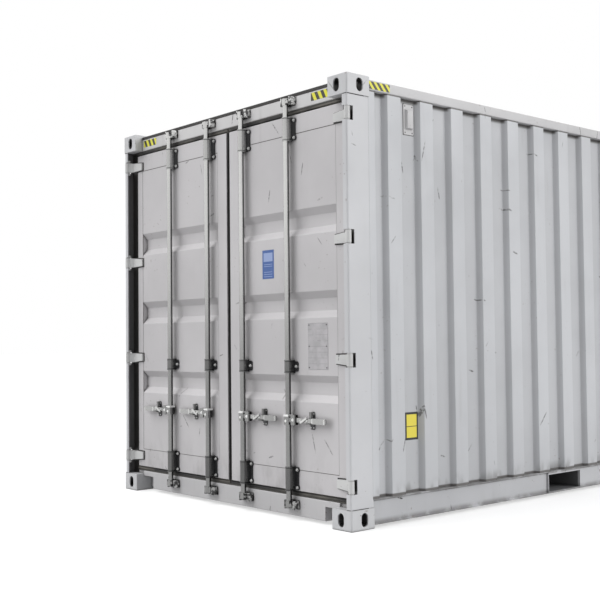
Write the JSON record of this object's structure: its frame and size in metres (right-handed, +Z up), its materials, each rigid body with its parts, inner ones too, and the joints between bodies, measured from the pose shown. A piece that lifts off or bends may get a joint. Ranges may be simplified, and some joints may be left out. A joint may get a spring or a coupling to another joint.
{
  "type": "shipping container",
  "caption": "Hollow corrugated steel freight container with hinged double doors, turning lock rods, lifting handles, corner castings and fork pockets.",
  "frame": {"origin": "centre of the footprint, on the level of the bottom castings", "axes": "+X along the length from the door end to the blind end, +Z up, doors face -X"},
  "size_m": [6.058, 2.438, 2.591],
  "materials": {
    "grey_paint": "satin light grey paint, scuffed",
    "casting_paint": "light grey paint on cast steel",
    "galvanised": "hot dip galvanised, worn",
    "seal": "black extruded rubber",
    "floorboard": "oiled hardwood plywood"
  },
  "bodies": {
    "root": {"bottom_corner_castings": "casting_paint", "top_corner_castings": "casting_paint", "near_door_post": "grey_paint", "far_door_post": "grey_paint", "end_posts": "grey_paint", "near_bottom_side_rail": "grey_paint", "far_bottom_side_rail": "grey_paint", "near_top_side_rail": "grey_paint", "far_top_side_rail": "grey_paint", "near_side_wall": "grey_paint", "far_side_wall": "grey_paint", "vent_covers": "grey_paint", "end_wall": "grey_paint", "end_rails": "grey_paint", "roof": "grey_paint", "roof_end_plates": "grey_paint", "cross_members": "grey_paint", "fork_pocket_beams": "grey_paint", "fork_pocket_plates": "grey_paint", "fork_pocket_mouths": "grey_paint", "door_sill": "grey_paint", "door_header": "grey_paint", "near_hinge_lugs": "grey_paint", "far_hinge_lugs": "grey_paint", "floor": "floorboard", "cam_keepers": "galvanised"},
    "near_door": {"near_door_frame": "grey_paint", "near_door_panel": "grey_paint", "near_door_gasket": "seal", "near_hinge_blades": "grey_paint", "near_rod_bearings": "galvanised", "near_handle_catches": "galvanised"},
    "near_outer_rod": {"near_outer_lock_rod": "galvanised"},
    "near_outer_handle_body": {"near_outer_handle": "galvanised"},
    "near_inner_rod": {"near_inner_lock_rod": "galvanised"},
    "near_inner_handle_body": {"near_inner_handle": "galvanised"},
    "far_door": {"far_door_frame": "grey_paint", "far_door_panel": "grey_paint", "far_door_gasket": "seal", "far_hinge_blades": "grey_paint", "far_rod_bearings": "galvanised", "far_handle_catches": "galvanised"},
    "far_outer_rod": {"far_outer_lock_rod": "galvanised"},
    "far_outer_handle_body": {"far_outer_handle": "galvanised"},
    "far_inner_rod": {"far_inner_lock_rod": "galvanised"},
    "far_inner_handle_body": {"far_inner_handle": "galvanised"}
  },
  "joints": [
    {"name": "near_door_swing", "type": "hinge", "parent": "root", "child": "near_door", "pos_m": [-3.01, -1.2, 1.3], "axis": [0, 0, 1], "range_deg": [0, 260]},
    {"name": "near_outer_rod_turn", "type": "hinge", "parent": "near_door", "child": "near_outer_rod", "pos_m": [-3.005, -0.645, 1.3], "axis": [0, 0, 1], "range_deg": [-110, 0]},
    {"name": "near_outer_handle_lift", "type": "hinge", "parent": "near_outer_rod", "child": "near_outer_handle_body", "pos_m": [-3.005, -0.701, 0.598], "axis": [1, 0, 0], "range_deg": [-15, 0]},
    {"name": "near_inner_rod_turn", "type": "hinge", "parent": "near_door", "child": "near_inner_rod", "pos_m": [-3.005, -0.192, 1.3], "axis": [0, 0, 1], "range_deg": [-110, 0]},
    {"name": "near_inner_handle_lift", "type": "hinge", "parent": "near_inner_rod", "child": "near_inner_handle_body", "pos_m": [-3.005, -0.248, 0.598], "axis": [1, 0, 0], "range_deg": [-15, 0]},
    {"name": "far_door_swing", "type": "hinge", "parent": "root", "child": "far_door", "pos_m": [-3.01, 1.2, 1.3], "axis": [0, 0, -1], "range_deg": [0, 260]},
    {"name": "far_outer_rod_turn", "type": "hinge", "parent": "far_door", "child": "far_outer_rod", "pos_m": [-3.005, 0.645, 1.3], "axis": [0, 0, -1], "range_deg": [-110, 0]},
    {"name": "far_outer_handle_lift", "type": "hinge", "parent": "far_outer_rod", "child": "far_outer_handle_body", "pos_m": [-3.005, 0.701, 0.598], "axis": [-1, 0, 0], "range_deg": [-15, 0]},
    {"name": "far_inner_rod_turn", "type": "hinge", "parent": "far_door", "child": "far_inner_rod", "pos_m": [-3.005, 0.192, 1.3], "axis": [0, 0, -1], "range_deg": [-110, 0]},
    {"name": "far_inner_handle_lift", "type": "hinge", "parent": "far_inner_rod", "child": "far_inner_handle_body", "pos_m": [-3.005, 0.248, 0.598], "axis": [-1, 0, 0], "range_deg": [-15, 0]}
  ]
}
